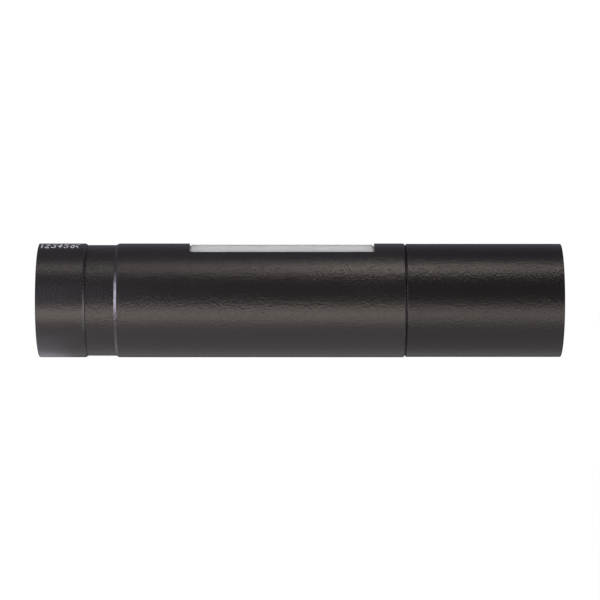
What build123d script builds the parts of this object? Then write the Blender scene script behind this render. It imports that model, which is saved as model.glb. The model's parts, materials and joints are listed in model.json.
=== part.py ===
from build123d import *
from math import atan2, cos, degrees, radians, sin, sqrt
import os

# Handheld spotlight torch: turned aluminium barrel on the X axis, focusing spot optic at -X,
# light bar under a clear cover on top (+Z), screw-on tail tube with a push button at +X.
#
# Frame: origin on the barrel axis at mid length, +X towards the tail, +Z through the light bar.
# Units: millimetres.

os.makedirs("parts", exist_ok=True)

# ---------------------------------------------------------------- driving dimensions
LENGTH = 150.8            # overall, end face to end face
R_BODY = 16.5             # outside radius of focus ring and main tube
R_TAIL = 16.4             # outside radius of the tail tube
R_NECK = 16.06            # finger groove between focus ring and main tube
X_FRONT = -LENGTH / 2     # front face of the focus ring
X_REAR = LENGTH / 2       # end face of the tail tube

X_RING_CHAMFER = -61.95   # focus ring: rear chamfer starts
X_RING_REAR = -61.36       # focus ring: rear face
X_NECK_FRONT = -61.30     # main tube: front shoulder of the neck
X_BEVEL_A = -53.05         # main tube: long bevel from neck to body, start
X_BEVEL_B = -52.3          # and end
X_SEAM = 30.2             # main tube: rear shoulder
X_TAIL_FRONT = 30.42       # tail tube: front face

POCKET_X0, POCKET_X1 = -32.0, 21.5   # flat milled on top for the light bar
Z_FLAT = 13.9                         # height of that flat above the axis
SLOT_X0, SLOT_X1 = -29.5, 19.5       # slot through the wall inside the flat
SLOT_HALF = 5.5
R_COVER = 16.15                      # outside radius of the clear cover
COVER_HALF = 7.3
GASKET_T = 0.2

R_BORE = 13.4             # main bore, from the rear
R_LENS_BORE = 13.2        # bore the lens carrier slides in
R_SPIGOT = 14.7           # front spigot the focus ring turns on
X_SPIGOT = -70.85          # front end of that spigot
R_THREAD = 15.1           # crest of the tail thread (M30 x 1 class)
PITCH = 1.0               # tail thread pitch
X_THREAD_END = 40.6

FOCUS_HALF_TURN = 45.0    # degrees each way
FOCUS_TRAVEL = 1.6        # lens travel each way
X_CAM = -66.65            # cam screws at rest
R_CAM = 0.9
CAM_ANGLES = (60.0, 180.0, 300.0)     # from +Z, about +X

X_GATE = -48.0            # front face of the gate disc
R_GATE_HOLE = 3.6
X_STAR = -34.0            # front face of the LED star board
F_LED = -34.9             # first focus of the ellipsoid: the LED
F_GATE = -47.6            # second focus: the gate
B_ELLIPSE = 12.0          # ellipsoid's semi-minor axis

X_SINK_REAR = -26.0
X_DRIVER = -9.2           # front face of the driver board
T_BOARD = 1.2
CELL_X0, CELL_X1 = -4.2, 61.0         # 18650 button-top cell, ends
R_CELL = 9.25
BUTTON_TRAVEL = 1.2
Z_UNDER = 9.6             # everything below the light bar's saddle stays under this

RADIAL = {a: Vector(0, -sin(radians(a)), cos(radians(a))) for a in CAM_ANGLES}


def save(part, name):
    part.part.label = name
    export_step(part.part, f"parts/{name}.step")


# ================================================================ focus ring group
with BuildPart() as focus_ring:
    with BuildSketch(Plane.XY):
        with BuildLine():
            Polyline(
                (X_FRONT, 13.85),
                (X_FRONT, R_BODY - 0.12),
                (X_FRONT + 0.12, R_BODY),
                (X_RING_CHAMFER, R_BODY),
                (X_RING_REAR, R_BODY - 0.45),
                (X_RING_REAR, 14.8),
                (-69.65, 14.8),
                (-69.65, 15.4),
                (-74.45, 15.4),
                (-74.45, 13.05),
                close=True,
            )
        make_face()
    revolve(axis=Axis.X)
    # three helical cam grooves on the inside, one per cam screw
    turn = FOCUS_HALF_TURN + 5.0
    lead = 360.0 * FOCUS_TRAVEL / FOCUS_HALF_TURN
    for angle in CAM_ANGLES:
        with BuildLine() as cam_path:
            Helix(
                pitch=lead,
                height=lead * 2 * turn / 360.0,
                radius=15.1,
                direction=(1, 0, 0),
                lefthand=True,
            )
        # place the helix so that its middle is at the cam screw
        path = cam_path.line
        mid = path @ 0.5
        want = RADIAL[angle] * 15.1 + Vector(X_CAM, 0, 0)
        spin = degrees(atan2(want.Z, want.Y) - atan2(mid.Z, mid.Y))
        path = path.rotate(Axis.X, spin)
        path = path.translate(Vector(X_CAM - (path @ 0.5).X, 0, 0))
        start = path @ 0
        out = Vector(0, start.Y, start.Z).normalized()
        with BuildSketch(Plane(origin=start, x_dir=out, z_dir=path % 0)):
            Rectangle(1.0, 2.04)
        sweep(path=path, is_frenet=True, mode=Mode.SUBTRACT)
save(focus_ring, "focus_ring")

with BuildPart() as front_glass:
    with BuildSketch(Plane.XY):
        with BuildLine():
            Polyline((-74.45, 0), (-74.45, 15.1), (-74.25, 15.3), (-73.15, 15.3), (-72.95, 15.1), (-72.95, 0), close=True)
        make_face()
    revolve(axis=Axis.X)
save(front_glass, "front_glass")

with BuildPart() as glass_gasket:
    with BuildSketch(Plane.XY):
        with Locations((-72.55, 14.45)):
            RectangleRounded(0.8, 1.7, 0.25)
    revolve(axis=Axis.X)
save(glass_gasket, "glass_gasket")

with BuildPart() as glass_retainer:
    with BuildSketch(Plane.XY):
        with Locations((-71.6, 14.475)):
            Rectangle(1.1, 1.75)
    revolve(axis=Axis.X)
    chamfer(glass_retainer.edges().filter_by(GeomType.CIRCLE).group_by(SortBy.RADIUS)[0], 0.2)
    # spanner notches, on the rear face
    with BuildSketch(Plane.YZ.offset(-71.05)):
        with Locations((0, 14.5), (0, -14.5)):
            Rectangle(2.2, 2.4)
    extrude(amount=-0.55, mode=Mode.SUBTRACT)
save(glass_retainer, "glass_retainer")

# ================================================================ lens group
with BuildPart() as lens_carrier:
    with BuildSketch(Plane.XY):
        with BuildLine():
            Polyline(
                (-70.6, 12.5),
                (-70.6, 12.9),
                (-70.4, 13.1),
                (-58.8, 13.1),
                (-58.6, 12.9),
                (-58.6, 11.8),
                (-59.4, 11.2),
                (-60.2, 11.2),
                (-60.2, 12.3),
                (-70.4, 12.3),
                close=True,
            )
        make_face()
    revolve(axis=Axis.X)
    for angle in CAM_ANGLES:
        with BuildSketch(Plane(origin=(X_CAM, 0, 0), x_dir=(1, 0, 0), z_dir=RADIAL[angle])):
            Circle(R_CAM + 0.02)
        extrude(amount=14, mode=Mode.SUBTRACT)
save(lens_carrier, "lens_carrier")

LENS_EDGE, LENS_BACK, LENS_NOSE = -62.0, -60.2, 6.6   # flange faces and crown height
R_CROWN = (11.2**2 + LENS_NOSE**2) / (2 * LENS_NOSE)


def crown_point(t):
    """Point on the lens crown; t = 0 on the axis, 1 at the rim."""
    r = 11.2 * t
    return (LENS_EDGE - LENS_NOSE + R_CROWN - sqrt(R_CROWN**2 - r**2), r)


with BuildPart() as projection_lens:
    with BuildSketch(Plane.XY):
        with BuildLine():
            ThreePointArc((LENS_EDGE, 11.2), crown_point(0.5), (LENS_EDGE - LENS_NOSE, 0))
            Polyline((LENS_EDGE, 11.2), (LENS_EDGE, 12.2), (LENS_BACK, 12.2), (LENS_BACK, 0), (LENS_EDGE - LENS_NOSE, 0))
        make_face()
    revolve(axis=Axis.X)
save(projection_lens, "projection_lens")

with BuildPart() as lens_lock_ring:
    with BuildSketch(Plane.XY):
        with Locations((-62.6, 11.84)):
            Rectangle(1.2, 0.84)
    revolve(axis=Axis.X)
    with BuildSketch(Plane.YZ.offset(-63.2)):
        with Locations((12.0, 0), (-12.0, 0)):
            Rectangle(2.0, 1.6)
    extrude(amount=0.5, mode=Mode.SUBTRACT)
save(lens_lock_ring, "lens_lock_ring")

with BuildPart() as cam_screws:
    for angle in CAM_ANGLES:
        with BuildSketch(Plane(origin=Vector(X_CAM, 0, 0) + RADIAL[angle] * 12.35, x_dir=(1, 0, 0), z_dir=RADIAL[angle])):
            Circle(R_CAM)
        extrude(amount=3.1)
        # screwdriver slot across the inner end; they are put in from inside the carrier
        with BuildSketch(Plane(origin=Vector(X_CAM, 0, 0) + RADIAL[angle] * 12.35, x_dir=(1, 0, 0), z_dir=RADIAL[angle])):
            Rectangle(2.0, 0.35)
        extrude(amount=0.4, mode=Mode.SUBTRACT)
save(cam_screws, "cam_screws")

# ================================================================ main tube
thread = []
for k in range(6):
    x0 = 34.2 + k * PITCH
    thread += [(x0, R_THREAD), (x0 + 0.15, R_THREAD), (x0 + 0.5, R_THREAD - 0.55), (x0 + 0.65, R_THREAD - 0.55)]
with BuildPart() as main_tube:
    with BuildSketch(Plane.XY):
        with BuildLine():
            Polyline(
                (X_SPIGOT, 13.4),
                (X_SPIGOT, R_SPIGOT - 0.2),
                (X_SPIGOT + 0.2, R_SPIGOT),
                (-70.55, R_SPIGOT),
                (-70.55, 14.15),
                (-69.75, 14.15),
                (-69.75, R_SPIGOT),
                (-63.75, R_SPIGOT),
                (-63.75, 13.95),
                (-62.35, 13.95),
                (-62.35, R_SPIGOT),
                (X_NECK_FRONT, R_SPIGOT),
                (X_NECK_FRONT, R_NECK - 0.1),
                (X_NECK_FRONT + 0.1, R_NECK),
                (X_BEVEL_A, R_NECK),
                (X_BEVEL_B, R_BODY),
                (X_SEAM - 0.3, R_BODY),
                (X_SEAM, R_BODY - 0.3),
                (X_SEAM, R_THREAD),
                (31.6, R_THREAD),
                (31.6, 14.3),
                (32.8, 14.3),
                (32.8, R_THREAD),
                *thread,
                (40.2, R_THREAD),
                (X_THREAD_END, R_THREAD - 0.4),
                (X_THREAD_END, R_BORE),
                (X_GATE, R_BORE),
                (X_GATE, 11.2),
                (-50.0, 11.2),
                (-50.6, R_LENS_BORE),
                (X_SPIGOT + 0.2, R_LENS_BORE),
                close=True,
            )
        make_face()
    revolve(axis=Axis.X)
    # flat for the light bar
    with BuildSketch(Plane.XY.offset(Z_FLAT)):
        with Locations(((POCKET_X0 + POCKET_X1) / 2, 0)):
            Rectangle(POCKET_X1 - POCKET_X0, 40)
    extrude(amount=10, mode=Mode.SUBTRACT)
    # slot through the wall for the lit board
    with BuildSketch(Plane.XY.offset(8)):
        with Locations(((SLOT_X0 + SLOT_X1) / 2, 0)):
            RectangleRounded(SLOT_X1 - SLOT_X0, 2 * SLOT_HALF, 1.0)
    extrude(amount=8, mode=Mode.SUBTRACT)
    # straight slots that guide the cam screws
    for angle in CAM_ANGLES:
        with BuildSketch(Plane(origin=(X_CAM, 0, 0), x_dir=(1, 0, 0), z_dir=RADIAL[angle])):
            SlotOverall(2 * (FOCUS_TRAVEL + R_CAM + 0.05), 2 * R_CAM + 0.1)
        extrude(amount=15.5, mode=Mode.SUBTRACT)
    # keyways that stop the cell magazine turning
    with BuildSketch(Plane.YZ.offset(22.5)):
        with Locations((13.1, 0), (-13.1, 0)):
            Rectangle(1.3, 3.2)
    extrude(amount=20, mode=Mode.SUBTRACT)
save(main_tube, "main_tube")

with BuildPart() as ring_clip:
    with BuildSketch(Plane.YZ.offset(-70.5)):
        Circle(15.2)
        Circle(14.2, mode=Mode.SUBTRACT)
        with Locations((0, -15)):
            Rectangle(5.0, 4.0, mode=Mode.SUBTRACT)
    extrude(amount=0.7)
save(ring_clip, "ring_clip")

with BuildPart() as focus_o_ring:
    with BuildSketch(Plane.XY):
        with Locations((-63.05, 14.37)):
            Circle(0.4)
    revolve(axis=Axis.X)
save(focus_o_ring, "focus_o_ring")

with BuildPart() as tail_o_ring:
    with BuildSketch(Plane.XY):
        with Locations((32.2, 14.73)):
            Circle(0.42)
    revolve(axis=Axis.X)
save(tail_o_ring, "tail_o_ring")

# ================================================================ light bar
with BuildPart() as window_gasket:
    with BuildSketch(Plane.XY.offset(Z_FLAT)):
        with Locations(((POCKET_X0 + POCKET_X1) / 2, 0)):
            RectangleRounded(POCKET_X1 - POCKET_X0 - 0.5, 2 * COVER_HALF - 0.3, 0.4)
        with Locations(((SLOT_X0 + SLOT_X1) / 2, 0)):
            RectangleRounded(SLOT_X1 - SLOT_X0, 2 * SLOT_HALF, 1.0, mode=Mode.SUBTRACT)
    extrude(amount=GASKET_T)
save(window_gasket, "window_gasket")

Z_COVER = Z_FLAT + GASKET_T
with BuildPart() as window_cover:
    side = sqrt(R_COVER**2 - COVER_HALF**2)
    with BuildSketch(Plane.YZ.offset(POCKET_X0 + 0.08)):
        with BuildLine():
            Polyline((-COVER_HALF, side), (-COVER_HALF, Z_COVER), (COVER_HALF, Z_COVER), (COVER_HALF, side))
            ThreePointArc((COVER_HALF, side), (0, R_COVER), (-COVER_HALF, side))
        make_face()
    extrude(amount=POCKET_X1 - POCKET_X0 - 0.16)
    ends = window_cover.edges().filter_by(GeomType.CIRCLE)
    chamfer(ends, 0.6)
    # channel on the underside, leaving a solid wall at each end
    with BuildSketch(Plane.YZ.offset(POCKET_X0 + 2.1)):
        with BuildLine():
            Polyline((-4.3, Z_COVER + 0.35), (-4.3, Z_COVER), (4.3, Z_COVER), (4.3, Z_COVER + 0.35))
            ThreePointArc((4.3, Z_COVER + 0.35), (0, Z_COVER + 0.95), (-4.3, Z_COVER + 0.35))
        make_face()
    extrude(amount=POCKET_X1 - POCKET_X0 - 4.2, mode=Mode.SUBTRACT)
save(window_cover, "window_cover")

BAR_SCREWS = (-27.2, 17.2)
BAR_LEADS = [(-24.3, 1.7), (-24.3, -1.7)]
with BuildPart() as board_saddle:
    with BuildSketch(Plane.YZ.offset(-30.2)):
        Circle(R_BORE - 0.1)
        with Locations((0, 10.75)):
            Rectangle(30, 1.7, mode=Mode.INTERSECT)
    extrude(amount=50.4)
    with BuildSketch(Plane.XY.offset(9)):
        with Locations(*[(x, 0) for x in BAR_SCREWS]):
            Circle(0.8)
        with Locations(*BAR_LEADS):
            Circle(0.85)
    extrude(amount=4, mode=Mode.SUBTRACT)
save(board_saddle, "board_saddle")

with BuildPart() as cob_board:
    with BuildSketch(Plane.XY.offset(11.6)):
        with Locations((-5, 0)):
            RectangleRounded(48, 10, 0.6)
        with Locations(*[(x, 0) for x in BAR_SCREWS]):
            Circle(0.9, mode=Mode.SUBTRACT)
        with Locations(*BAR_LEADS):
            Circle(0.62, mode=Mode.SUBTRACT)
    extrude(amount=1.0)
save(cob_board, "cob_board")

with BuildPart() as cob_dam:
    with BuildSketch(Plane.XY.offset(12.6)):
        with Locations((-3.8, 0)):
            SlotOverall(37.4, 6.6)
            SlotOverall(36.0, 5.2, mode=Mode.SUBTRACT)
    extrude(amount=0.65)
    fillet(cob_dam.edges().group_by(Axis.Z)[-1], 0.2)
save(cob_dam, "cob_dam")

with BuildPart() as cob_phosphor:
    with BuildSketch(Plane.XY.offset(12.6)):
        with Locations((-3.8, 0)):
            SlotOverall(36.0, 5.2)
    extrude(amount=0.5)
save(cob_phosphor, "cob_phosphor")

with BuildPart() as bar_screws:
    with BuildSketch(Plane.XY.offset(10.1)):
        with Locations(*[(x, 0) for x in BAR_SCREWS]):
            Circle(0.8)
    extrude(amount=2.5)
    with BuildSketch(Plane.XY.offset(12.6)):
        with Locations(*[(x, 0) for x in BAR_SCREWS]):
            Circle(1.45)
    extrude(amount=0.8)
    fillet(bar_screws.edges().group_by(Axis.Z)[-1], 0.3)
    with BuildSketch(Plane.XY.offset(13.4)):
        with Locations(*[(x, 0) for x in BAR_SCREWS]):
            Rectangle(1.7, 0.35)
            Rectangle(0.35, 1.7)
    extrude(amount=-0.4, mode=Mode.SUBTRACT)
save(bar_screws, "bar_screws")

# ================================================================ spot engine
with BuildPart() as gate_disc:
    with BuildSketch(Plane.XY):
        with BuildLine():
            Polyline((X_GATE, R_GATE_HOLE + 0.5), (X_GATE, 13.3), (X_GATE + 0.8, 13.3), (X_GATE + 0.8, R_GATE_HOLE), (X_GATE + 0.4, R_GATE_HOLE), close=True)
        make_face()
    revolve(axis=Axis.X)
save(gate_disc, "gate_disc")

X_ELLIPSE = (F_LED + F_GATE) / 2
C_ELLIPSE = (F_LED - F_GATE) / 2
A_ELLIPSE = sqrt(B_ELLIPSE**2 + C_ELLIPSE**2)
with BuildPart() as ellipsoidal_reflector:
    with BuildSketch(Plane.XY):
        with Locations(((X_GATE + 0.8 + X_STAR) / 2, 13.3 / 2)):
            Rectangle(X_STAR - X_GATE - 0.8, 13.3)
    revolve(axis=Axis.X)
    with BuildSketch(Plane.XY):
        with BuildLine():
            mirror_arc = EllipticalCenterArc((X_ELLIPSE, 0), A_ELLIPSE, B_ELLIPSE, start_angle=0, arc_size=180)
            Line(mirror_arc @ 0, mirror_arc @ 1)
        make_face()
    revolve(axis=Axis.X, mode=Mode.SUBTRACT)
save(ellipsoidal_reflector, "ellipsoidal_reflector")

STAR_SCREWS = ((0, 8.2), (0, -8.2))
STAR_LEADS = ((8.2, 0), (-8.2, 0))
with BuildPart() as led_star_board:
    with BuildSketch(Plane.YZ.offset(X_STAR)):
        Circle(12.6)
        with PolarLocations(12.6, 6, 30):
            Circle(1.4, mode=Mode.SUBTRACT)
        with Locations(*STAR_SCREWS):
            Circle(1.1, mode=Mode.SUBTRACT)
        with Locations(*STAR_LEADS):
            Circle(0.72, mode=Mode.SUBTRACT)
    extrude(amount=1.6)
save(led_star_board, "led_star_board")

with BuildPart() as led_package:
    with BuildSketch(Plane.YZ.offset(X_STAR)):
        Rectangle(5.0, 5.0)
    extrude(amount=-0.7)
save(led_package, "led_package")

with BuildPart() as led_die:
    with BuildSketch(Plane.YZ.offset(X_STAR - 0.7)):
        Rectangle(2.2, 2.2)
    extrude(amount=-0.2)
save(led_die, "led_die")

with BuildPart() as led_dome:
    with BuildSketch(Plane.XY):
        with BuildLine():
            Line((X_STAR - 0.7, 0), (X_STAR - 0.7, 2.3))
            ThreePointArc((X_STAR - 0.7, 2.3), (X_STAR - 0.7 - 2.3 * sin(radians(45)), 2.3 * cos(radians(45))), (X_STAR - 3.0, 0))
            Line((X_STAR - 3.0, 0), (X_STAR - 0.7, 0))
        make_face()
    revolve(axis=Axis.X)
    with BuildSketch(Plane.YZ.offset(X_STAR - 0.7)):
        Rectangle(2.2, 2.2)
    extrude(amount=-0.2, mode=Mode.SUBTRACT)
save(led_dome, "led_dome")

with BuildPart() as star_screws:
    with BuildSketch(Plane.YZ.offset(X_STAR)):
        with Locations(*STAR_SCREWS):
            Circle(1.0)
    extrude(amount=5.0)
    with BuildSketch(Plane.YZ.offset(X_STAR)):
        with Locations(*STAR_SCREWS):
            Circle(1.75)
    extrude(amount=-1.1)
    fillet(star_screws.edges().group_by(Axis.X)[0], 0.35)
    with BuildSketch(Plane.YZ.offset(X_STAR - 1.1)):
        with Locations(*STAR_SCREWS):
            Rectangle(2.0, 0.4)
            Rectangle(0.4, 2.0)
    extrude(amount=0.55, mode=Mode.SUBTRACT)
save(star_screws, "star_screws")

with BuildPart() as heat_sink:
    with BuildSketch(Plane.YZ.offset(X_STAR + 1.6)):
        Circle(13.35)
    extrude(amount=1.8)
    with BuildSketch(Plane.YZ.offset(X_STAR + 3.4)):
        Circle(13.35)
        with Locations((0, Z_UNDER + 5)):
            Rectangle(30, 10, mode=Mode.SUBTRACT)
    extrude(amount=X_SINK_REAR - X_STAR - 3.4)
    # fins on the rear face
    with BuildSketch(Plane.YZ.offset(X_SINK_REAR)):
        with GridLocations(3.2, 0, 7, 1):
            Rectangle(1.2, 30)
    extrude(amount=-2.6, mode=Mode.SUBTRACT)
    with BuildSketch(Plane.YZ.offset(X_SINK_REAR)):
        with Locations(*STAR_LEADS):
            Circle(1.1)
    extrude(amount=-8, mode=Mode.SUBTRACT)
    with BuildSketch(Plane.YZ.offset(X_STAR + 5.0)):
        with Locations(*STAR_SCREWS):
            Circle(1.02)
    extrude(amount=-4, mode=Mode.SUBTRACT)
save(heat_sink, "heat_sink")

# ================================================================ driver
with BuildPart() as driver_spacer:
    with BuildSketch(Plane.YZ.offset(X_SINK_REAR)):
        Circle(13.3)
        Circle(12.3, mode=Mode.SUBTRACT)
        with Locations((0, Z_UNDER + 5)):
            Rectangle(30, 10, mode=Mode.SUBTRACT)
    extrude(amount=X_DRIVER - X_SINK_REAR)
save(driver_spacer, "driver_spacer")

DRIVER_LEADS = ((1.7, 6.4), (-1.7, 6.4))
with BuildPart() as driver_board:
    with BuildSketch(Plane.YZ.offset(X_DRIVER)):
        Circle(13.3)
        with Locations((0, Z_UNDER + 5)):
            Rectangle(30, 10, mode=Mode.SUBTRACT)
        with Locations(*STAR_LEADS, *DRIVER_LEADS):
            Circle(0.62, mode=Mode.SUBTRACT)
    extrude(amount=T_BOARD)
save(driver_board, "driver_board")

with BuildPart() as driver_inductor:
    with BuildSketch(Plane.YZ.offset(X_DRIVER)):
        with Locations((-4.2, -5.2)):
            RectangleRounded(7.4, 7.4, 1.4)
    extrude(amount=-4.4)
    chamfer(driver_inductor.edges().group_by(Axis.X)[0], 0.4)
save(driver_inductor, "driver_inductor")

with BuildPart() as driver_capacitor:
    with BuildSketch(Plane.YZ.offset(X_DRIVER)):
        with Locations((5.0, -5.4)):
            Circle(3.15)
    extrude(amount=-9.0)
    fillet(driver_capacitor.edges().group_by(Axis.X)[0], 0.5)
save(driver_capacitor, "driver_capacitor")

with BuildPart() as driver_chips:
    with BuildSketch(Plane.YZ.offset(X_DRIVER)):
        with Locations((0, 2.2)):
            Rectangle(5.0, 4.0)
        with Locations((-8.2, 3.6), (8.2, 3.6)):
            Rectangle(2.6, 3.2)
        with Locations((0, -10.8), (-3.2, -10.8), (3.2, -10.8)):
            Rectangle(1.6, 0.9)
    extrude(amount=-1.1)
save(driver_chips, "driver_chips")

with BuildPart() as driver_ring:
    with BuildSketch(Plane.YZ.offset(X_DRIVER + T_BOARD)):
        Circle(13.35)
        Circle(11.2, mode=Mode.SUBTRACT)
        with Locations((0, Z_UNDER + 5)):
            Rectangle(30, 10, mode=Mode.SUBTRACT)
    extrude(amount=1.5)
save(driver_ring, "driver_ring")

LEAD_R = 0.55
with BuildPart() as spot_leads:
    for y in (8.2, -8.2):
        with BuildLine() as lead_path:
            FilletPolyline(
                (X_DRIVER, y, 0), (X_STAR - 1.3, y, 0), (X_STAR - 1.3, y * 0.6, 0), radius=0.95
            )
        with BuildSketch(Plane(origin=(X_DRIVER, y, 0), z_dir=(-1, 0, 0))):
            Circle(LEAD_R)
        sweep(path=lead_path.line)
save(spot_leads, "spot_leads")

with BuildPart() as star_solder:
    for y in (8.2 * 0.6, -8.2 * 0.6):
        with BuildSketch(Plane.YZ.offset(X_STAR)):
            with Locations((y, 0)):
                Rectangle(1.9, 2.2)
        extrude(amount=-0.7)
    chamfer(star_solder.edges().group_by(Axis.X)[0], 0.25)
save(star_solder, "star_solder")

with BuildPart() as bar_leads:
    for y in (1.7, -1.7):
        with BuildLine() as lead_path:
            FilletPolyline((X_DRIVER, y, 6.4), (-24.3, y, 6.4), (-24.3, y, 12.9), radius=2.2)
        with BuildSketch(Plane(origin=(X_DRIVER, y, 6.4), z_dir=(-1, 0, 0))):
            Circle(LEAD_R)
        sweep(path=lead_path.line)
save(bar_leads, "bar_leads")

with BuildPart() as contact_spring:
    with BuildLine() as coil:
        Helix(pitch=1.1, height=2.9, radius=4.2, direction=(1, 0, 0), center=(X_DRIVER + T_BOARD + 0.45, 0, 0), cone_angle=-24)
    with BuildSketch(Plane(origin=coil.line @ 0, z_dir=coil.line % 0)):
        Circle(0.35)
    sweep(path=coil.line, is_frenet=True)
save(contact_spring, "contact_spring")

# ================================================================ cell magazine
with BuildPart() as cell_can:
    with BuildSketch(Plane.XY):
        with BuildLine():
            Polyline(
                (CELL_X0 + 1.2, 0), (CELL_X0 + 1.2, 8.3), (CELL_X0 + 1.6, 9.1), (CELL_X0 + 4.2, 9.1), (CELL_X0 + 4.7, 8.6),
                (CELL_X0 + 5.6, 8.6), (CELL_X0 + 6.1, 9.1), (CELL_X1 - 0.5, 9.1), (CELL_X1, 8.6), (CELL_X1, 0), close=True,
            )
        make_face()
    revolve(axis=Axis.X)
    with BuildSketch(Plane.XY):
        with Locations(((CELL_X0 + 6.4 + CELL_X1 - 0.6) / 2, 8.85 / 2)):
            Rectangle(CELL_X1 - CELL_X0 - 7.0, 8.85)
    revolve(axis=Axis.X, mode=Mode.SUBTRACT)
save(cell_can, "cell_can")

with BuildPart() as cell_core:
    with BuildSketch(Plane.XY):
        with Locations(((CELL_X0 + 6.45 + CELL_X1 - 0.65) / 2, (0.9 + 8.8) / 2)):
            Rectangle(CELL_X1 - CELL_X0 - 7.1, 7.9)
    revolve(axis=Axis.X)
save(cell_core, "cell_core")

with BuildPart() as cell_insulator:
    with BuildSketch(Plane.XY):
        with Locations((CELL_X0 + 1.05, 6.25)):
            Rectangle(0.3, 3.9)
    revolve(axis=Axis.X)
save(cell_insulator, "cell_insulator")

with BuildPart() as cell_terminal:
    with BuildSketch(Plane.XY):
        with BuildLine():
            Polyline((CELL_X0, 0), (CELL_X0, 3.3), (CELL_X0 + 0.4, 3.8), (CELL_X0 + 1.2, 3.8), (CELL_X0 + 1.2, 0), close=True)
        make_face()
    revolve(axis=Axis.X)
save(cell_terminal, "cell_terminal")

with BuildPart() as cell_wrap:
    with BuildSketch(Plane.XY):
        with BuildLine():
            Polyline(
                (CELL_X0 + 6.1, 9.12), (CELL_X0 + 6.1, R_CELL), (CELL_X1 - 0.4, R_CELL), (CELL_X1 - 0.4, 9.12), close=True,
            )
        make_face()
    revolve(axis=Axis.X)
save(cell_wrap, "cell_wrap")

with BuildPart() as cell_magazine:
    with BuildSketch(Plane.XY):
        with BuildLine():
            Polyline(
                (22.6, 9.5), (22.6, 10.4), (23.0, 10.8), (26.6, 10.8), (26.6, 13.3), (28.6, 13.3), (28.6, 10.8), (48.0, 10.8),
                (48.0, 13.3), (49.6, 13.3), (49.6, 10.8), (60.2, 10.8), (60.2, 13.3), (62.0, 13.3), (62.0, 9.5), close=True,
            )
        make_face()
    revolve(axis=Axis.X)
    # keys that ride in the main tube's keyways
    with BuildSketch(Plane.YZ.offset(26.6)):
        with Locations((12.3, 0), (-12.3, 0)):
            Rectangle(2.6, 3.0)
    extrude(amount=2.0)
    # windows in the barrel that let the cell be seen and gripped
    with BuildSketch(Plane.XZ):
        with Locations((38.3, 0)):
            SlotOverall(14.0, 9.0)
    extrude(amount=12, both=True, mode=Mode.SUBTRACT)
save(cell_magazine, "cell_magazine")

# ================================================================ tail tube group
inside_thread = []
for k in range(6):
    x0 = 34.0 + k * PITCH
    inside_thread += [(x0, 15.2), (x0 + 0.35, 15.55), (x0 + 0.5, 15.55), (x0 + 0.85, 15.2)]
with BuildPart() as tail_tube:
    with BuildSketch(Plane.XY):
        with BuildLine():
            Polyline(
                (X_TAIL_FRONT, 15.5),
                (X_TAIL_FRONT, R_TAIL - 0.3),
                (X_TAIL_FRONT + 0.3, R_TAIL),
                (X_REAR - 0.12, R_TAIL),
                (X_REAR, R_TAIL - 0.12),
                (X_REAR, 6.9),
                (X_REAR - 0.3, 6.6),
                (X_REAR - 1.4, 6.6),
                (X_REAR - 1.4, 13.4),
                (59.6, 13.4),
                (59.6, 14.1),
                (58.6, 14.1),
                (58.6, 13.4),
                (41.2, 13.4),
                (41.2, 15.2),
                *reversed(inside_thread),
                (X_TAIL_FRONT + 0.3, 15.2),
                close=True,
            )
        make_face()
    revolve(axis=Axis.X)
save(tail_tube, "tail_tube")

with BuildPart() as magazine_clip:
    with BuildSketch(Plane.YZ.offset(58.7)):
        Circle(14.0)
        Circle(12.5, mode=Mode.SUBTRACT)
        with Locations((0, -13.2)):
            Rectangle(4.0, 4.0, mode=Mode.SUBTRACT)
    extrude(amount=0.8)
save(magazine_clip, "magazine_clip")

with BuildPart() as switch_retainer:
    with BuildSketch(Plane.YZ.offset(64.6)):
        Circle(13.35)
        Circle(10.6, mode=Mode.SUBTRACT)
    extrude(amount=1.6)
    with BuildSketch(Plane.YZ.offset(64.6)):
        with Locations((11.9, 0), (-11.9, 0)):
            Rectangle(3.2, 2.0)
    extrude(amount=0.9, mode=Mode.SUBTRACT)
save(switch_retainer, "switch_retainer")

with BuildPart() as switch_board:
    with BuildSketch(Plane.YZ.offset(66.2)):
        Circle(13.3)
    extrude(amount=T_BOARD)
save(switch_board, "switch_board")

with BuildPart() as switch_spacer:
    with BuildSketch(Plane.YZ.offset(67.4)):
        Circle(13.3)
        Circle(11.0, mode=Mode.SUBTRACT)
    extrude(amount=X_REAR - 1.4 - 67.4)
save(switch_spacer, "switch_spacer")

with BuildPart() as switch_body:
    with BuildSketch(Plane.YZ.offset(67.4)):
        RectangleRounded(10.0, 10.0, 0.8)
    extrude(amount=3.0)
    chamfer(switch_body.edges().group_by(Axis.X)[-1], 0.3)
    with BuildSketch(Plane.YZ.offset(70.4)):
        Circle(1.8)
    extrude(amount=-2.8, mode=Mode.SUBTRACT)
save(switch_body, "switch_body")

with BuildPart() as tail_spring:
    with BuildLine() as coil:
        Helix(pitch=1.45, height=4.3, radius=5.6, direction=(-1, 0, 0), center=(66.2 - 0.45, 0, 0), cone_angle=-24)
    with BuildSketch(Plane(origin=coil.line @ 0, z_dir=coil.line % 0)):
        Circle(0.4)
    sweep(path=coil.line, is_frenet=True)
save(tail_spring, "tail_spring")

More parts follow.
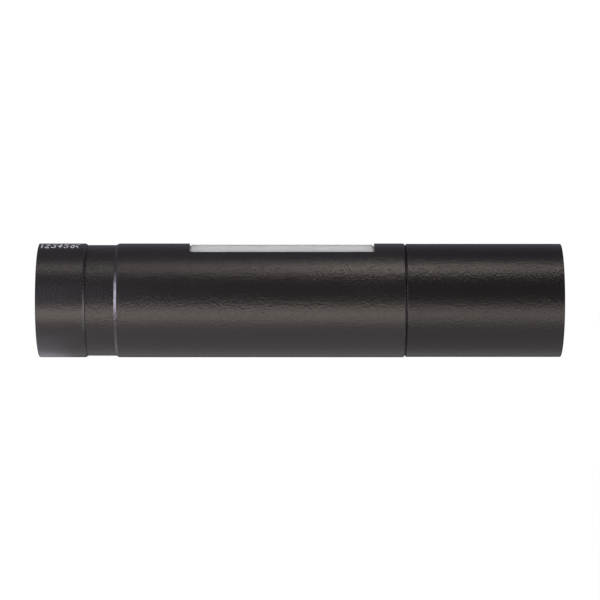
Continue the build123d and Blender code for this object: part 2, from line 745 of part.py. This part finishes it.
# ================================================================ button group
R_DISH = (4.4**2 + 0.3**2) / 0.6          # thumb dish in the button's face
DISH = 74.95 + R_DISH
with BuildPart() as tail_button:
    with BuildSketch(Plane.XY):
        with BuildLine():
            Polyline(
                (71.9, 0), (71.9, 8.8), (72.1, 9.0), (73.6, 9.0), (73.8, 8.8), (73.8, 6.52), (74.35, 6.52), (74.35, 5.85),
                (75.0, 5.85), (75.0, 6.1), (75.25, 5.85), (75.25, 4.4),
            )
            ThreePointArc((75.25, 4.4), (DISH - sqrt(R_DISH**2 - 2.2**2), 2.2), (74.95, 0))
            Line((74.95, 0), (71.9, 0))
        make_face()
    revolve(axis=Axis.X)
save(tail_button, "tail_button")

with BuildPart() as button_o_ring:
    with BuildSketch(Plane.XY):
        with Locations((74.67, 6.2)):
            Circle(0.31)
    revolve(axis=Axis.X)
save(button_o_ring, "button_o_ring")

with BuildPart() as switch_plunger:
    with BuildSketch(Plane.YZ.offset(69.0)):
        Circle(1.72)
    extrude(amount=2.9)
save(switch_plunger, "switch_plunger")

with BuildPart() as button_spring:
    with BuildLine() as coil:
        Helix(pitch=1.25, height=3.76, radius=7.9, direction=(1, 0, 0), center=(67.4 + 0.36, 0, 0))
    with BuildSketch(Plane(origin=coil.line @ 0, z_dir=coil.line % 0)):
        Circle(0.3)
    sweep(path=coil.line, is_frenet=True)
save(button_spring, "button_spring")
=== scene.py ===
import json
import math
import bpy
import bmesh
from mathutils import Matrix, Vector


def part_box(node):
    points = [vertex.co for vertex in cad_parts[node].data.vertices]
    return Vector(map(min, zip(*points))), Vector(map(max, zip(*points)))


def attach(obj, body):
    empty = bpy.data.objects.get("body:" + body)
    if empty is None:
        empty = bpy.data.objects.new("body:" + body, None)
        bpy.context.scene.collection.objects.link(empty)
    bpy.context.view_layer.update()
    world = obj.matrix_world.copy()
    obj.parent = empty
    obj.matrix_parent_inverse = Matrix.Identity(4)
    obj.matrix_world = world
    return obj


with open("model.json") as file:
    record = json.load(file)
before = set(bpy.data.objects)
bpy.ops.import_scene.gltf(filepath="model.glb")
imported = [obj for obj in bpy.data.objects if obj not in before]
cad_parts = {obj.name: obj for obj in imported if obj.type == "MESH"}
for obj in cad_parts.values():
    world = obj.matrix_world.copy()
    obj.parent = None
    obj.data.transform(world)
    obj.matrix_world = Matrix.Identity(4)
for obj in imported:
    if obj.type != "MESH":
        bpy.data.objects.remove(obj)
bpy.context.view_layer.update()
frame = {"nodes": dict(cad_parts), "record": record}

SC = bpy.context.scene
R = 0.0165                      # outside radius of the barrel, metres


# ------------------------------------------------------------------ materials
class Nodes:
    """Small helper around one material's node tree."""

    def __init__(self, name):
        self.m = bpy.data.materials.new(name)
        self.m.use_nodes = True
        self.t = self.m.node_tree
        self.t.nodes.clear()
        self.out = self.n("ShaderNodeOutputMaterial")
        self.b = self.n("ShaderNodeBsdfPrincipled")
        self.link(self.b, "BSDF", self.out, "Surface")
        self.co = self.n("ShaderNodeTexCoord")

    def n(self, kind, **kw):
        node = self.t.nodes.new(kind)
        for k, v in kw.items():
            setattr(node, k, v)
        return node

    def link(self, a, out, b, inp):
        self.t.links.new(a.outputs[out], b.inputs[inp])

    def mapped(self, scale=(1, 1, 1), rot=(0, 0, 0)):
        mp = self.n("ShaderNodeMapping")
        mp.inputs["Scale"].default_value = scale
        mp.inputs["Rotation"].default_value = rot
        self.link(self.co, "Object", mp, "Vector")
        return mp

    def noise(self, per_mm, detail=2.0, rough=0.5, scale=(1, 1, 1)):
        """Noise with features about 1/per_mm millimetres across."""
        mp = self.mapped(scale)
        nz = self.n("ShaderNodeTexNoise")
        nz.inputs["Scale"].default_value = per_mm * 1000.0
        nz.inputs["Detail"].default_value = detail
        nz.inputs["Roughness"].default_value = rough
        self.link(mp, "Vector", nz, "Vector")
        return nz

    def remap(self, src, out, a, b, lo=0.0, hi=1.0):
        mr = self.n("ShaderNodeMapRange")
        mr.inputs["From Min"].default_value = lo
        mr.inputs["From Max"].default_value = hi
        mr.inputs["To Min"].default_value = a
        mr.inputs["To Max"].default_value = b
        self.link(src, out, mr, "Value")
        return mr

    def mix(self, fac, fout, c1, c2):
        mx = self.n("ShaderNodeMix", data_type="RGBA")
        mx.inputs[6].default_value = (*c1, 1)
        mx.inputs[7].default_value = (*c2, 1)
        self.t.links.new(fac.outputs[fout], mx.inputs[0])
        return mx

    def bump(self, src, out, strength, dist, prev=None):
        bp = self.n("ShaderNodeBump")
        bp.inputs["Strength"].default_value = strength
        bp.inputs["Distance"].default_value = dist
        self.link(src, out, bp, "Height")
        if prev is not None:
            self.link(prev, "Normal", bp, "Normal")
        return bp

    def set(self, **kw):
        for k, v in kw.items():
            self.b.inputs[k.replace("_", " ")].default_value = v


def shade(c, k):
    return tuple(min(1.0, max(0.0, x * k)) for x in c)


def surface(name, color, rough, metallic=0.0, grain=3.0, vary=0.12, rvary=0.15, bump=0.15, bump_mm=0.02,
            stretch=(1, 1, 1), **kw):
    """General finish: colour, roughness and height all vary with a procedural grain."""
    k = Nodes(name)
    nz = k.noise(grain, 3.0, 0.55, stretch)
    big = k.noise(0.12, 2.0, 0.5)
    col = k.mix(nz, "Fac", shade(color, 1 - vary), shade(color, 1 + vary))
    k.t.links.new(col.outputs[2], k.b.inputs["Base Color"])
    rr = k.remap(big, "Fac", max(0.01, rough * (1 - rvary)), min(1.0, rough * (1 + rvary)), 0.3, 0.7)
    k.link(rr, "Result", k.b, "Roughness")
    bp = k.bump(nz, "Fac", bump, bump_mm / 1000.0)
    k.link(bp, "Normal", k.b, "Normal")
    k.set(Metallic=metallic)
    for kk, vv in kw.items():
        k.b.inputs[kk.replace("_", " ")].default_value = vv
    return k


MAT = {}


def diffuser():
    """The light bar's cover: pearly, half-clear plastic that spreads the light of the board under it."""
    k = Nodes("clear_plastic")
    nz = k.noise(0.6, 2.0, 0.5)
    col = k.mix(nz, "Fac", (0.85, 0.91, 0.90), (0.90, 0.95, 0.94))
    k.t.links.new(col.outputs[2], k.b.inputs["Base Color"])
    k.link(k.remap(nz, "Fac", 0.12, 0.20, 0.3, 0.7), "Result", k.b, "Roughness")
    k.link(k.bump(nz, "Fac", 0.2, 0.00003), "Normal", k.b, "Normal")
    k.b.inputs["Transmission Weight"].default_value = 0.40
    k.b.inputs["IOR"].default_value = 1.50
    return k


def blasted(name, ior, dark, light, grit):
    """Bead-blasted, black anodised aluminium: satin, with a fine pitted grain."""
    k = Nodes(name)
    fine = k.noise(3.0, 2.0, 0.6)
    mid = k.noise(2.1, 1.2, 0.5)
    big = k.noise(0.07, 2.0, 0.5)
    pits = k.n("ShaderNodeTexVoronoi", feature="F1")
    pits.inputs["Scale"].default_value = 4200.0
    k.link(k.mapped(), "Vector", pits, "Vector")
    col = k.mix(fine, "Fac", dark, light)
    k.t.links.new(col.outputs[2], k.b.inputs["Base Color"])
    r1 = k.remap(mid, "Fac", 0.225, 0.265, 0.3, 0.7)
    r2 = k.remap(big, "Fac", -0.02, 0.02, 0.3, 0.7)
    add = k.n("ShaderNodeMath", operation="ADD")
    k.link(r1, "Result", add, 0)
    k.link(r2, "Result", add, 1)
    k.link(add, "Value", k.b, "Roughness")
    b1 = k.bump(fine, "Fac", 0.40, 0.00007)
    b2 = k.bump(pits, "Distance", 0.20, 0.00004, b1)
    b3 = k.bump(mid, "Fac", 0.85, grit, b2)
    k.link(b3, "Normal", k.b, "Normal")
    k.set(Metallic=0.0, IOR=ior)
    return k


def clear(name, color, rough, ior, bump=0.0, grain=0.5, **kw):
    k = Nodes(name)
    nz = k.noise(grain, 2.0, 0.5)
    col = k.mix(nz, "Fac", shade(color, 0.985), color)
    k.t.links.new(col.outputs[2], k.b.inputs["Base Color"])
    rr = k.remap(nz, "Fac", rough * 0.7, rough * 1.3 + 0.004, 0.3, 0.7)
    k.link(rr, "Result", k.b, "Roughness")
    if bump:
        bp = k.bump(nz, "Fac", bump, 0.00003)
        k.link(bp, "Normal", k.b, "Normal")
    k.b.inputs["Transmission Weight"].default_value = 1.0
    k.b.inputs["IOR"].default_value = ior
    return k


def phosphor():
    """Yellow phosphor gel with the dies under it showing as a faint regular dimpling."""
    k = Nodes("phosphor")
    vo = k.n("ShaderNodeTexVoronoi", feature="F1")
    vo.inputs["Scale"].default_value = 720.0
    vo.inputs["Randomness"].default_value = 0.12
    k.link(k.mapped(), "Vector", vo, "Vector")
    dots = k.remap(vo, "Distance", 0.0, 1.0, 0.15, 0.75)
    col = k.mix(dots, "Result", (0.80, 0.62, 0.13), (0.86, 0.74, 0.28))
    k.t.links.new(col.outputs[2], k.b.inputs["Base Color"])
    nz = k.noise(2.0)
    rr = k.remap(nz, "Fac", 0.28, 0.42, 0.3, 0.7)
    k.link(rr, "Result", k.b, "Roughness")
    k.link(k.bump(vo, "Distance", 0.3, 0.0001), "Normal", k.b, "Normal")
    return k


def board(name, base, dark):
    """Circuit board solder resist, with faint copper tracks under it."""
    k = Nodes(name)
    br = k.n("ShaderNodeTexBrick")
    br.inputs["Scale"].default_value = 260.0
    br.inputs["Mortar Size"].default_value = 0.06
    br.inputs["Color1"].default_value = (0, 0, 0, 1)
    br.inputs["Color2"].default_value = (0.25, 0.25, 0.25, 1)
    br.inputs["Mortar"].default_value = (1, 1, 1, 1)
    k.link(k.mapped((1, 1, 1), (0, math.pi / 2, 0)), "Vector", br, "Vector")
    col = k.mix(br, "Color", base, dark)
    k.t.links.new(col.outputs[2], k.b.inputs["Base Color"])
    nz = k.noise(1.5)
    k.link(k.remap(nz, "Fac", 0.22, 0.36, 0.3, 0.7), "Result", k.b, "Roughness")
    k.link(k.bump(br, "Fac", 0.25, 0.00003), "Normal", k.b, "Normal")
    return k


def turned(name, color, rough, metallic=1.0, pitch_mm=0.18, bump=0.25):
    """Machined metal: fine rings around the X axis left by the tool."""
    k = Nodes(name)
    wv = k.n("ShaderNodeTexWave", wave_type="BANDS", bands_direction="X")
    wv.inputs["Scale"].default_value = 1000.0 / (pitch_mm * 20.0) * 3.0
    wv.inputs["Distortion"].default_value = 0.6
    wv.inputs["Detail"].default_value = 1.0
    k.link(k.mapped(), "Vector", wv, "Vector")
    nz = k.noise(0.8)
    col = k.mix(nz, "Fac", shade(color, 0.88), shade(color, 1.06))
    k.t.links.new(col.outputs[2], k.b.inputs["Base Color"])
    k.link(k.remap(wv, "Fac", rough * 0.8, rough * 1.25), "Result", k.b, "Roughness")
    k.link(k.bump(wv, "Fac", bump, 0.00001), "Normal", k.b, "Normal")
    k.set(Metallic=metallic)
    return k


MAT["blasted_black"] = blasted("blasted_black", 1.52, (0.0115, 0.0110, 0.0114), (0.0158, 0.0151, 0.0154), 0.000145)
# the tail tube was anodised in its own batch and came out a touch deeper
TAIL_BLACK = blasted("blasted_black_tail", 1.435, (0.0100, 0.0096, 0.0104), (0.0136, 0.0131, 0.0140), 0.000135)
HEAD_BLACK = blasted("blasted_black_head", 1.52, (0.0115, 0.0110, 0.0118), (0.0158, 0.0151, 0.0160), 0.000095)
MAT["clear_plastic"] = diffuser()
MAT["optic_glass"] = clear("optic_glass", (0.97, 0.985, 0.98), 0.0, 1.52)
MAT["silicone_clear"] = clear("silicone_clear", (0.98, 0.97, 0.92), 0.02, 1.42)
MAT["seal_rubber"] = surface("seal_rubber", (0.012, 0.012, 0.012), 0.55, grain=6.0, bump=0.3)
MAT["button_rubber"] = surface("button_rubber", (0.022, 0.022, 0.023), 0.62, grain=5.0, bump=0.5, bump_mm=0.04)
MAT["spring_steel"] = turned("spring_steel", (0.55, 0.55, 0.56), 0.28)
MAT["plated_steel"] = surface("plated_steel", (0.62, 0.62, 0.64), 0.22, 1.0, grain=2.0, bump=0.08)
MAT["bare_aluminium"] = turned("bare_aluminium", (0.80, 0.80, 0.81), 0.33)
MAT["black_metal"] = turned("black_metal", (0.012, 0.012, 0.012), 0.42, metallic=0.0)
MAT["reflector_mirror"] = surface("reflector_mirror", (0.93, 0.93, 0.93), 0.07, 1.0, grain=0.9, vary=0.02, bump=0.06)
MAT["board_white"] = board("board_white", (0.84, 0.84, 0.82), (0.74, 0.74, 0.71))
MAT["board_green"] = board("board_green", (0.010, 0.085, 0.035), (0.02, 0.15, 0.06))
MAT["ceramic_white"] = surface("ceramic_white", (0.82, 0.82, 0.80), 0.45, grain=6.0, vary=0.04)
MAT["silicone_white"] = surface("silicone_white", (0.84, 0.84, 0.82), 0.40, grain=3.0, vary=0.03)
MAT["phosphor"] = phosphor()
MAT["ferrite"] = surface("ferrite", (0.055, 0.055, 0.06), 0.6, grain=5.0, bump=0.4)
MAT["capacitor_sleeve"] = surface("capacitor_sleeve", (0.035, 0.04, 0.07), 0.3, grain=1.5)
MAT["chip_black"] = surface("chip_black", (0.02, 0.02, 0.02), 0.5, grain=8.0, bump=0.3)
MAT["brass_ring"] = turned("brass_ring", (0.76, 0.55, 0.25), 0.28)
MAT["lead_red"] = surface("lead_red", (0.42, 0.02, 0.02), 0.38, grain=2.0)
MAT["lead_black"] = surface("lead_black", (0.015, 0.015, 0.015), 0.38, grain=2.0)
MAT["solder"] = surface("solder", (0.66, 0.66, 0.66), 0.30, 1.0, grain=1.5, bump=0.3)
MAT["gold_spring"] = surface("gold_spring", (0.86, 0.62, 0.26), 0.20, 1.0, grain=2.0, bump=0.08)
MAT["wound_foil"] = surface("wound_foil", (0.35, 0.24, 0.15), 0.4, 1.0, grain=2.0, stretch=(1, 8, 8))
MAT["nickel_can"] = surface("nickel_can", (0.62, 0.61, 0.58), 0.24, 1.0, grain=2.0, bump=0.1)
MAT["card_white"] = surface("card_white", (0.82, 0.82, 0.79), 0.85, grain=4.0)
MAT["cell_sleeve"] = surface("cell_sleeve", (0.035, 0.12, 0.26), 0.30, grain=1.2, vary=0.06, bump=0.1)
MAT["magazine_plastic"] = surface("magazine_plastic", (0.055, 0.055, 0.058), 0.5, grain=4.0, bump=0.35)

slots = {s["node"]: s["material_slot"] for s in frame["record"]["subparts"]}
for node, obj in frame["nodes"].items():
    m = TAIL_BLACK.m if node == "tail_tube" else (HEAD_BLACK.m if node == "focus_ring" else MAT[slots[node]].m)
    obj.data.materials.clear()
    obj.data.materials.append(m)


# ------------------------------------------------------------------ focus scale on the ring
# strokes of plain numerals in a unit cell: u runs along the ring towards the tail, v up and over it
STROKES = {
    "1": [(0.15, 0.75), (0.60, 1.0), (0.60, 0.0)],
    "2": [(0.0, 0.85), (0.25, 1.0), (0.80, 1.0), (1.0, 0.78), (0.0, 0.0), (1.0, 0.0)],
    "3": [(0.0, 1.0), (1.0, 1.0), (0.45, 0.58), (0.85, 0.50), (1.0, 0.28), (0.80, 0.05), (0.40, 0.0), (0.0, 0.12)],
    "4": [(0.72, 0.0), (0.72, 1.0), (0.0, 0.33), (1.0, 0.33)],
    "5": [(0.95, 1.0), (0.10, 1.0), (0.05, 0.55), (0.70, 0.60), (1.0, 0.32), (0.80, 0.04), (0.35, 0.0), (0.0, 0.12)],
    "6": [(0.80, 1.0), (0.25, 0.72), (0.0, 0.30), (0.25, 0.0), (0.75, 0.0), (1.0, 0.28), (0.75, 0.55), (0.08, 0.42)],
    "<": [(1.0, 1.0), (0.0, 0.5), (1.0, 0.0)],
}


def focus_scale():
    """A short row of printed numerals along the ring, a hair proud of the metal, closed by a wedge mark."""
    bm = bmesh.new()
    lo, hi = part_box("focus_ring")
    half, slant = 0.00016, 0.00030
    low, tall = math.radians(66.5), math.radians(11.5)

    def stroke(p, q):
        """One closed bar along the surface between two points given as (x, arc length)."""
        d = Vector((q[0] - p[0], q[1] - p[1]))
        n = max(1, round(d.length / 0.0005))
        d.normalize()
        side_ = Vector((-d.y, d.x)) * half
        a, b = Vector(p) - d * half, Vector(q) + d * half
        rings = []
        for i in range(n + 1):
            c = a.lerp(b, i / n)
            row = []
            for rad, s_ in ((R - 0.00001, -1), (R + 0.000018, -1), (R + 0.000018, 1), (R - 0.00001, 1)):
                g = c + side_ * s_
                th = g.y / R
                row.append(bm.verts.new((g.x, -rad * math.cos(th), rad * math.sin(th))))
            rings.append(row)
        for r0, r1 in zip(rings, rings[1:]):
            for k in range(4):
                bm.faces.new((r0[k], r1[k], r1[(k + 1) % 4], r0[(k + 1) % 4]))
        bm.faces.new(rings[0])
        bm.faces.new(rings[-1][::-1])

    marks = [("1", 0.00120), ("2", 0.00285), ("3", 0.00465), ("4", 0.00645), ("5", 0.00825), ("6", 0.01010), ("<", 0.01150)]
    for glyph, x in marks:
        wide = 0.00078 if glyph == "<" else 0.00102
        pts = [(lo[0] + x - 0.00075 + u * wide + slant * v, R * (low + tall * v)) for u, v in STROKES[glyph]]
        for p, q in zip(pts, pts[1:]):
            stroke(p, q)
    bmesh.ops.recalc_face_normals(bm, faces=bm.faces)
    me = bpy.data.meshes.new("ring_scale")
    bm.to_mesh(me)
    bm.free()
    ob = bpy.data.objects.new("ring_scale", me)
    SC.collection.objects.link(ob)
    k = surface("print_white", (0.66, 0.67, 0.68), 0.55, grain=5.0, vary=0.15)
    me.materials.append(k.m)
    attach(ob, "head_ring")
    return ob


focus_scale()


# ------------------------------------------------------------------ stage, light, camera
def emission(name, color, strength):
    m = bpy.data.materials.new(name)
    m.use_nodes = True
    t = m.node_tree
    t.nodes.clear()
    o = t.nodes.new("ShaderNodeOutputMaterial")
    e = t.nodes.new("ShaderNodeEmission")
    e.inputs["Color"].default_value = (*color, 1)
    e.inputs["Strength"].default_value = strength
    t.links.new(e.outputs[0], o.inputs["Surface"])
    return m


def floor():
    me = bpy.data.meshes.new("floor")
    s, z = 6.0, -R - 0.00005
    me.from_pydata([(-s, -s, z), (s, -s, z), (s, s, z), (-s, s, z)], [], [(0, 1, 2, 3)])
    ob = bpy.data.objects.new("floor", me)
    SC.collection.objects.link(ob)
    m = bpy.data.materials.new("pale_floor")
    m.use_nodes = True
    b = m.node_tree.nodes["Principled BSDF"]
    b.inputs["Base Color"].default_value = (0.62, 0.62, 0.62, 1)
    b.inputs["Roughness"].default_value = 1.0
    b.inputs["Specular IOR Level"].default_value = 0.0
    b.inputs["Emission Color"].default_value = (1, 1, 1, 1)
    b.inputs["Emission Strength"].default_value = 0.93
    me.materials.append(m)
    # the floor only shows and takes shadow: the studio's light reaches the barrel from all round
    ob.visible_glossy = False
    ob.visible_diffuse = False
    ob.visible_shadow = False
    return ob


floor()


def softbox(name, pos, aim, length, width, radiance, color=(1, 1, 1)):
    """Rectangular soft light at pos, facing aim; length lies along X as nearly as it can."""
    d = bpy.data.lights.new(name, "AREA")
    d.shape = "RECTANGLE"
    d.size = length
    d.size_y = width
    d.energy = radiance * math.pi * length * width * 3.0 / sum(color)
    d.color = color
    ob = bpy.data.objects.new(name, d)
    SC.collection.objects.link(ob)
    ob.location = pos
    z = (Vector(pos) - Vector(aim)).normalized()
    x = (Vector((1, 0, 0)) - z * z.x).normalized()
    ob.rotation_euler = Matrix((x, z.cross(x), z)).transposed().to_euler()
    ob.visible_camera = False
    return ob


def strip(name, elev, dist, x, length, width, radiance, color=(1, 1, 1)):
    """Long soft light parallel to the barrel. elev from the front (-Y) over the top, round the barrel's axis."""
    e = math.radians(elev)
    softbox(name, (x, -math.cos(e) * dist, math.sin(e) * dist), (x, 0, 0), length, width, radiance, color)


def side(name, elev, azim, dist, w, h, radiance, color=(1, 1, 1)):
    """Soft light off to one side, aimed at the middle of the barrel. azim swings it along X from the front."""
    e, a = math.radians(elev), math.radians(azim)
    pos = Vector((math.sin(a), -math.cos(a) * math.cos(e), math.cos(a) * math.sin(e))) * dist
    softbox(name, pos, (0, 0, 0), w, h, radiance, color)


# A gradient studio: brightness by the elevation a ray leaves the barrel at, measured in the plane across it.
# 0 is straight at the front, 90 overhead, 180 the back, -90 straight down. One long soft band low in front stands
# out of it; the band overhead is made of the strips further down.
STUDIO = [(-180, 0.04), (-165, 0.09), (-150, 0.41), (-120, 0.50), (-95, 0.59), (-65, 0.65), (-52, 0.56), (-45, 0.81),
          (-39, 1.56), (-31, 2.72), (-23, 2.88), (-17, 1.56), (-11, 0.37), (-5, 0.02), (10, 0.03), (30, 0.02), (50, 0.02),
          (57, 0.05), (62, 0.10), (69, 0.15), (76, 0.17), (82, 0.18), (91, 0.19), (120, 0.13), (150, 0.24), (170, 0.14), (180, 0.04)]
PEAK = 4.0
w = bpy.data.worlds.new("studio")
SC.world = w
w.use_nodes = True
t = w.node_tree
t.nodes.clear()
out = t.nodes.new("ShaderNodeOutputWorld")
bg = t.nodes.new("ShaderNodeBackground")
tc = t.nodes.new("ShaderNodeTexCoord")
sep = t.nodes.new("ShaderNodeSeparateXYZ")
t.links.new(tc.outputs["Generated"], sep.inputs[0])
neg = t.nodes.new("ShaderNodeMath")
neg.operation = "MULTIPLY"
neg.inputs[1].default_value = -1.0
t.links.new(sep.outputs["Y"], neg.inputs[0])
at = t.nodes.new("ShaderNodeMath")
at.operation = "ARCTAN2"
t.links.new(sep.outputs["Z"], at.inputs[0])
t.links.new(neg.outputs[0], at.inputs[1])
mr = t.nodes.new("ShaderNodeMapRange")
mr.inputs["From Min"].default_value = -math.pi
mr.inputs["From Max"].default_value = math.pi
t.links.new(at.outputs[0], mr.inputs["Value"])
cr = t.nodes.new("ShaderNodeValToRGB")
cr.color_ramp.interpolation = "LINEAR"
els = cr.color_ramp.elements
els[0].position = 0.0
els[1].position = 1.0
WARM = (1.0, 0.87, 0.78)
COOL = (0.86, 0.80, 1.0)
PALE = (1.0, 0.95, 0.96)
DUSK = (0.88, 0.84, 1.0)


def tint(e):
    """Warm in the low band, pale underneath, cool over the top and behind."""
    c = WARM if -50 < e < -8 else (PALE if e <= -50 else (DUSK if e > 80 else (1.0, 1.0, 1.0)))
    m = sum(c) / 3.0
    return tuple(x / m for x in c)


for i, (e, v) in enumerate(STUDIO):
    p = (e + 180) / 360.0
    el = els[0] if i == 0 else (els[len(els) - 1] if i == len(STUDIO) - 1 else els.new(p))
    el.color = tuple(v / PEAK * c for c in tint(e)) + (1.0,)
t.links.new(mr.outputs["Result"], cr.inputs["Fac"])
t.links.new(cr.outputs["Color"], bg.inputs["Color"])
bg.inputs["Strength"].default_value = PEAK
t.links.new(bg.outputs[0], out.inputs["Surface"])


def backdrop():
    """Plain white dome round the whole set, seen by the camera and through clear parts only."""
    bm = bmesh.new()
    bmesh.ops.create_uvsphere(bm, u_segments=48, v_segments=24, radius=5.0)
    me = bpy.data.meshes.new("backdrop")
    bm.to_mesh(me)
    bm.free()
    ob = bpy.data.objects.new("backdrop", me)
    SC.collection.objects.link(ob)
    me.materials.append(emission("backdrop_white", (1, 1, 1), 1.05))
    ob.visible_glossy = False
    ob.visible_diffuse = False
    ob.visible_shadow = False
    return ob


backdrop()

# strips over the front edge: brightest over the seam, weaker towards the head
strip("strip_head", 65.5, 0.20, -0.075, 0.10, 0.058, 1.42, WARM)
strip("strip_front", 65.5, 0.20, -0.020, 0.06, 0.058, 1.90, WARM)
strip("strip_middle", 65.5, 0.20, 0.035, 0.10, 0.058, 4.10, WARM)
strip("strip_tail", 65.5, 0.20, 0.120, 0.08, 0.058, 1.95, WARM)
# big soft box to the left, a small one close to the head, and a fill from the lower right
side("box_left", 10, -66, 0.30, 0.14, 0.20, 11.5, COOL)
side("fill_left", 12, -38, 0.17, 0.06, 0.09, 0.57, COOL)
side("fill_right", -60, 62, 0.30, 0.14, 0.20, 1.88, PALE)
# thin glints along the edges that face right
side("edge_right", 8, 68, 0.30, 0.12, 0.16, 1.6, COOL)
# light coming off the table in front of and under the head
strip("bounce_under", -105, 0.036, -0.097, 0.055, 0.06, 0.23, COOL)
strip("bounce_low", -105, 0.060, -0.112, 0.07, 0.10, 0.34, COOL)
strip("bounce_back", -150, 0.050, -0.097, 0.055, 0.06, 0.10, COOL)

# the pale window gets a light of its own, so that it stays bright against the black barrel
window_light = softbox("window_light", (-0.005, -0.29, 0.06), (-0.005, 0, 0.014), 0.30, 0.20, 1.0)
only = bpy.data.collections.new("window_parts")
for part in ("window_cover", "window_gasket"):
    only.objects.link(frame["nodes"][part])
window_light.light_linking.receiver_collection = only

cam_d = bpy.data.cameras.new("camera")
cam = bpy.data.objects.new("camera", cam_d)
SC.collection.objects.link(cam)
DIST = 51.0 * R
cam.location = (0, -DIST, 0)
cam.rotation_euler = (math.pi / 2, 0, 0)
cam_d.sensor_width = 36.0
cam_d.lens = 174.2
cam_d.shift_y = 0.0006
cam_d.clip_start = 0.01
SC.camera = cam

SC.view_settings.view_transform = "Standard"
SC.view_settings.look = "None"
